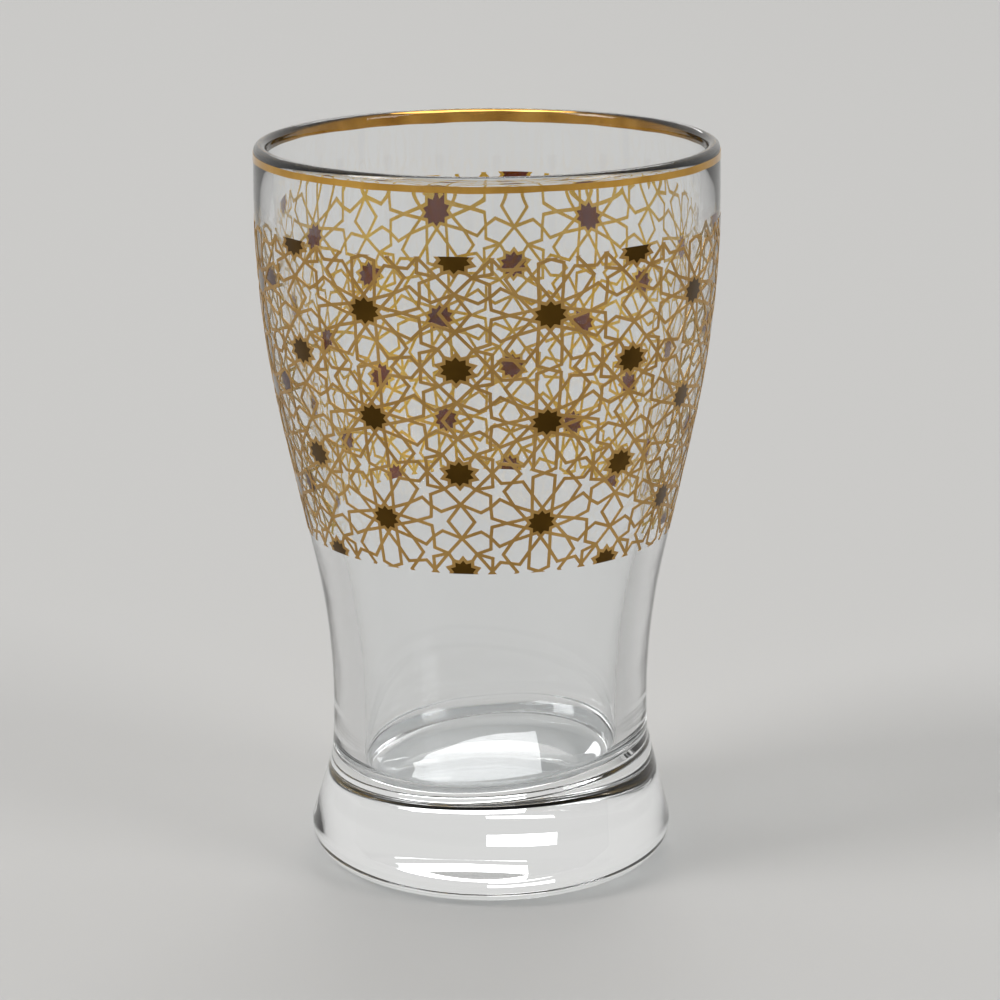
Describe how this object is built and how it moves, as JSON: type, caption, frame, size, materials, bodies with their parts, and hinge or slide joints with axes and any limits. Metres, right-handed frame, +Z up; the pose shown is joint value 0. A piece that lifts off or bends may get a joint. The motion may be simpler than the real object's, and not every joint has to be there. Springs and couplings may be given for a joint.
{
  "type": "tea glass",
  "caption": "Waisted clear tea glass with a thick flared foot, a gold line under the lip and a printed gold band of star strapwork, for serving hot tea",
  "frame": {"origin": "middle of the ring that the foot stands on, in the plane of the table", "axes": "+Z up along the axis of the glass; +X and +Y are level, and -Y faces the camera of the picture"},
  "size_m": [0.0602, 0.0602, 0.0962],
  "materials": {
    "clear_glass": "clear pressed glass, fire polished",
    "bright_gold": "bright fired-on gold",
    "matt_gold": "matt fired-on gold print",
    "mirror_gold": "dark mirror-bright fired-on gold"
  },
  "bodies": {
    "root": {"glass_body": "clear_glass", "rim_line": "bright_gold", "strapwork_front": "matt_gold", "strapwork_right": "matt_gold", "strapwork_back": "matt_gold", "strapwork_left": "matt_gold", "rosette_stars": "mirror_gold", "diamond_stars": "mirror_gold"}
  },
  "joints": []
}
